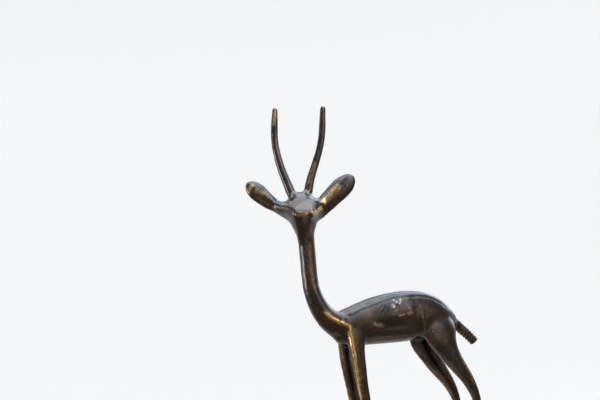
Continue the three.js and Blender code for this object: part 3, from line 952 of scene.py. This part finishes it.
def sweep():
    """A round studio bay: flat floor, a curve up, and a wall, all one surface."""
    profile = [(CENTRE_RADIUS, 0.0), *((FLAT_RADIUS * share, 0.0) for share in FLAT_RINGS)]
    for i in range(CURVE_STEPS + 1):
        a = math.radians(90 * i / CURVE_STEPS)
        profile.append((FLAT_RADIUS + CURVE_RADIUS * math.sin(a), CURVE_RADIUS * (1 - math.cos(a))))
    profile.append((FLAT_RADIUS + CURVE_RADIUS, WALL_HEIGHT))
    bm = bmesh.new()
    rings = []
    for radius, height in profile:
        ring = []
        for k in range(SPOKES):
            a = 2 * math.pi * k / SPOKES
            ring.append(bm.verts.new((radius * math.cos(a) * MM, radius * math.sin(a) * MM, height * MM)))
        rings.append(ring)
    for inner, outer in zip(rings, rings[1:]):
        for k in range(SPOKES):
            j = (k + 1) % SPOKES
            bm.faces.new((inner[k], outer[k], outer[j], inner[j]))
    bm.faces.new(rings[0])
    bmesh.ops.recalc_face_normals(bm, faces=bm.faces)
    mesh = bpy.data.meshes.new("studio_sweep")
    bm.to_mesh(mesh)
    bm.free()
    mesh.polygons.foreach_set("use_smooth", [True] * len(mesh.polygons))
    obj = bpy.data.objects.new("studio_sweep", mesh)
    bpy.context.scene.collection.objects.link(obj)
    return obj


PAPER = 0.78
PAPER_ROUGHNESS = 0.9
TOOTH_SCALE = 900
TOOTH_STRENGTH = 0.05
TOOTH_HEIGHT = 0.2
GLOW_FROM = (-0.6, 0.6)  # metres from the figure, away from the photograph's side
GLOW_TO = (0.08, 0.43)


def paper():
    """Matt pale paper with a faint tooth; the far side of the bay glows more than the near side."""
    material = bpy.data.materials.new("studio_paper")
    material.use_nodes = True
    tree = material.node_tree
    tree.nodes.clear()
    new = tree.nodes.new
    where = new("ShaderNodeTexCoord").outputs["Object"]
    tooth = new("ShaderNodeTexNoise")
    tooth.inputs["Scale"].default_value = TOOTH_SCALE
    link(tree, where, tooth.inputs["Vector"])
    bump = new("ShaderNodeBump")
    bump.inputs["Strength"].default_value = TOOTH_STRENGTH
    bump.inputs["Distance"].default_value = TOOTH_HEIGHT * MM
    link(tree, tooth.outputs["Fac"], bump.inputs["Height"])
    away = new("ShaderNodeVectorMath")
    away.operation = "DOT_PRODUCT"
    away.inputs[1].default_value = (-math.sin(VIEW_TURN), math.cos(VIEW_TURN), 0.0)
    link(tree, where, away.inputs[0])
    glow = new("ShaderNodeMapRange")
    glow.interpolation_type = "SMOOTHSTEP"
    link(tree, away.outputs["Value"], glow.inputs["Value"])
    for key, number in zip(("From Min", "From Max", "To Min", "To Max"), (*GLOW_FROM, *GLOW_TO)):
        glow.inputs[key].default_value = number
    shader = new("ShaderNodeBsdfPrincipled")
    shader.inputs["Base Color"].default_value = (PAPER, PAPER, PAPER, 1)
    shader.inputs["Roughness"].default_value = PAPER_ROUGHNESS
    shader.inputs["Specular IOR Level"].default_value = 0.1
    shader.inputs["Emission Color"].default_value = (1.0, 1.0, 1.0, 1)
    link(tree, glow.outputs[0], shader.inputs["Emission Strength"])
    link(tree, bump.outputs[0], shader.inputs["Normal"])
    output = new("ShaderNodeOutputMaterial")
    link(tree, shader.outputs[0], output.inputs["Surface"])
    return material


floor = sweep()
floor.data.materials.append(paper())

# ---------------------------------------------------------------- light

world = bpy.data.worlds.new("studio_world")
world.use_nodes = True
world.node_tree.nodes["Background"].inputs["Color"].default_value = (0.90, 0.95, 1.0, 1)
world.node_tree.nodes["Background"].inputs["Strength"].default_value = 0.35
bpy.context.scene.world = world


def softbox(name, at, width, height, radiance, colour, everywhere=False):
    """A flat light that faces the figure, of a given radiance. Unless everywhere, only the figure gets it."""
    data = bpy.data.lights.new(name, "AREA")
    data.shape = "RECTANGLE"
    data.size = width * MM
    data.size_y = height * MM
    data.energy = radiance * math.pi * width * height * MM * MM
    data.color = colour
    obj = bpy.data.objects.new(name, data)
    bpy.context.scene.collection.objects.link(obj)
    obj.location = Vector(at) * MM
    toward = (Vector(AIM) - Vector(at)).normalized()
    obj.rotation_mode = "QUATERNION"
    obj.rotation_quaternion = toward.to_track_quat("-Z", "Y")
    obj.visible_camera = False
    if not everywhere:
        obj.light_linking.receiver_collection = figure


AIM = (0, 0, 75)
COOL = (0.60, 0.75, 1.0)
SKY = (0.52, 0.73, 1.0)
NEUTRAL = (1.0, 1.0, 1.0)
softbox("front_sky", (0, -180, 660), 900, 480, 5.6, SKY)
softbox("rear_sky", (0, 240, 660), 900, 340, 3.5, SKY)
softbox("rump_panel", (574, 154, 446), 620, 540, 3.4, COOL)
softbox("side_strip", (-600, 210, 110), 220, 420, 10.0, COOL)
softbox("floor_light", (40, 30, 680), 900, 700, 1.0, NEUTRAL, everywhere=True)

CLOTH_INNER = 45
CLOTH_OUTER = 330
CLOTH_LIFT = 0.4
CLOTH_TOP = 440
CLOTH_LOW_TOP = 60
CLOTH_FROM = math.radians(-15)
CLOTH_WALL_TO = math.radians(-188)
CLOTH_MAT_TO = math.radians(-225)
CLOTH_STEPS = 84
CLOTH_GLOW = 0.28
CLOTH_BRIGHTEST = 5.5
CLOTH_DOUBLING = 140
CLOTH_COOLS = (130, 250)
CLOTH_WARM = (1.0, 0.93, 0.84)
CLOTH_MIDDLE_RISES = (-0.25, 0.0)  # across the cloth, as a share of its outer radius
CLOTH_MIDDLE_FALLS = (0.42, 0.72)
CLOTH_MIDDLE_GAIN = 3.9
CLOTH_SIDE_GAIN = 0.30
WEAVE_SCALE = 400
THREAD_SHADES = (0.02, 0.05)


def graded_cloth():
    """A curved cloth on the photograph's side, dark below and bright at its top.

    Only reflections see it: it stands for the room that the bronze mirrors.
    """
    mesh = bpy.data.meshes.new("graded_cloth")
    points, faces = [], []
    for k in range(CLOTH_STEPS + 1):
        a = CLOTH_FROM + (CLOTH_MAT_TO - CLOTH_FROM) * k / CLOTH_STEPS
        top = CLOTH_TOP if a > CLOTH_WALL_TO else CLOTH_LOW_TOP
        for radius, height in ((CLOTH_INNER, CLOTH_LIFT), (CLOTH_OUTER, CLOTH_LIFT), (CLOTH_OUTER, top)):
            points.append((radius * math.cos(a) * MM, radius * math.sin(a) * MM, height * MM))
        if k == 0:
            continue
        here, before = 3 * k, 3 * k - 3
        faces.append((before, before + 1, here + 1, here))
        faces.append((before + 1, before + 2, here + 2, here + 1))
    mesh.from_pydata(points, [], faces)
    material = bpy.data.materials.new("graded_cloth")
    material.use_nodes = True
    tree = material.node_tree
    new = tree.nodes.new
    shader = tree.nodes["Principled BSDF"]

    def worked(operation, *values):
        node = new("ShaderNodeMath")
        node.operation = operation
        for socket, value in zip(node.inputs, values):
            if isinstance(value, (int, float)):
                socket.default_value = value
            else:
                link(tree, value, socket)
        return node.outputs[0]

    def step(value, low, high):
        node = new("ShaderNodeMapRange")
        node.interpolation_type = "SMOOTHSTEP"
        link(tree, value, node.inputs["Value"])
        node.inputs["From Min"].default_value = low
        node.inputs["From Max"].default_value = high
        return node.outputs[0]

    split = new("ShaderNodeSeparateXYZ")
    link(tree, new("ShaderNodeTexCoord").outputs["Object"], split.inputs[0])
    across = worked("DIVIDE", split.outputs["X"], CLOTH_OUTER * MM)
    falls = worked("SUBTRACT", 1.0, step(across, *CLOTH_MIDDLE_FALLS))
    middle = worked("MULTIPLY", step(across, *CLOTH_MIDDLE_RISES), falls)
    climb = worked("POWER", 2.0, worked("DIVIDE", split.outputs["Z"], CLOTH_DOUBLING * MM))
    gain = worked("ADD", worked("MULTIPLY", middle, CLOTH_MIDDLE_GAIN), CLOTH_SIDE_GAIN)
    rise = worked("MULTIPLY", worked("SUBTRACT", climb, 1.0), gain)
    glow = worked("MINIMUM", worked("MULTIPLY", worked("ADD", rise, 1.0), CLOTH_GLOW), CLOTH_BRIGHTEST)
    link(tree, glow, shader.inputs["Emission Strength"])
    tint = new("ShaderNodeMix")
    tint.data_type = "RGBA"
    colours = [socket for socket in tint.inputs if socket.type == "RGBA"]
    colours[0].default_value = (*CLOTH_WARM, 1)
    colours[1].default_value = (*COOL, 1)
    link(tree, step(split.outputs["Z"], CLOTH_COOLS[0] * MM, CLOTH_COOLS[1] * MM), tint.inputs[0])
    tinted = next(socket for socket in tint.outputs if socket.type == "RGBA")
    link(tree, tinted, shader.inputs["Emission Color"])
    weave = new("ShaderNodeTexNoise")
    weave.inputs["Scale"].default_value = WEAVE_SCALE
    thread = new("ShaderNodeMapRange")
    thread.inputs["To Min"].default_value, thread.inputs["To Max"].default_value = THREAD_SHADES
    link(tree, weave.outputs["Fac"], thread.inputs["Value"])
    link(tree, thread.outputs[0], shader.inputs["Base Color"])
    shader.inputs["Roughness"].default_value = 0.95
    mesh.materials.append(material)
    obj = bpy.data.objects.new("graded_cloth", mesh)
    bpy.context.scene.collection.objects.link(obj)
    obj.visible_camera = False
    obj.visible_diffuse = False
    obj.visible_shadow = False
    obj.visible_transmission = False
    return obj


graded_cloth()

# ---------------------------------------------------------------- camera

CAMERA_AT = (-232.05, -386.30, 30.94)
LENS = 72
SENSOR = 36
CLIP = (0.01, 10)
back = Vector(
    (
        math.sin(VIEW_TURN) * math.cos(VIEW_RISE),
        -math.cos(VIEW_TURN) * math.cos(VIEW_RISE),
        math.sin(VIEW_RISE),
    )
)
level = Vector((math.cos(VIEW_TURN), math.sin(VIEW_TURN), 0))
upright = back.cross(level)
right = math.cos(VIEW_ROLL) * level - math.sin(VIEW_ROLL) * upright
up = math.sin(VIEW_ROLL) * level + math.cos(VIEW_ROLL) * upright
camera_data = bpy.data.cameras.new("camera")
camera_data.lens = LENS
camera_data.sensor_width = SENSOR
camera_data.clip_start, camera_data.clip_end = CLIP
camera = bpy.data.objects.new("camera", camera_data)
bpy.context.scene.collection.objects.link(camera)
turned = Matrix((right, up, back)).transposed().to_4x4()
camera.matrix_world = Matrix.Translation(Vector(place(CAMERA_AT)) * MM) @ turned
bpy.context.scene.camera = camera
bpy.context.scene.view_settings.view_transform = "Standard"
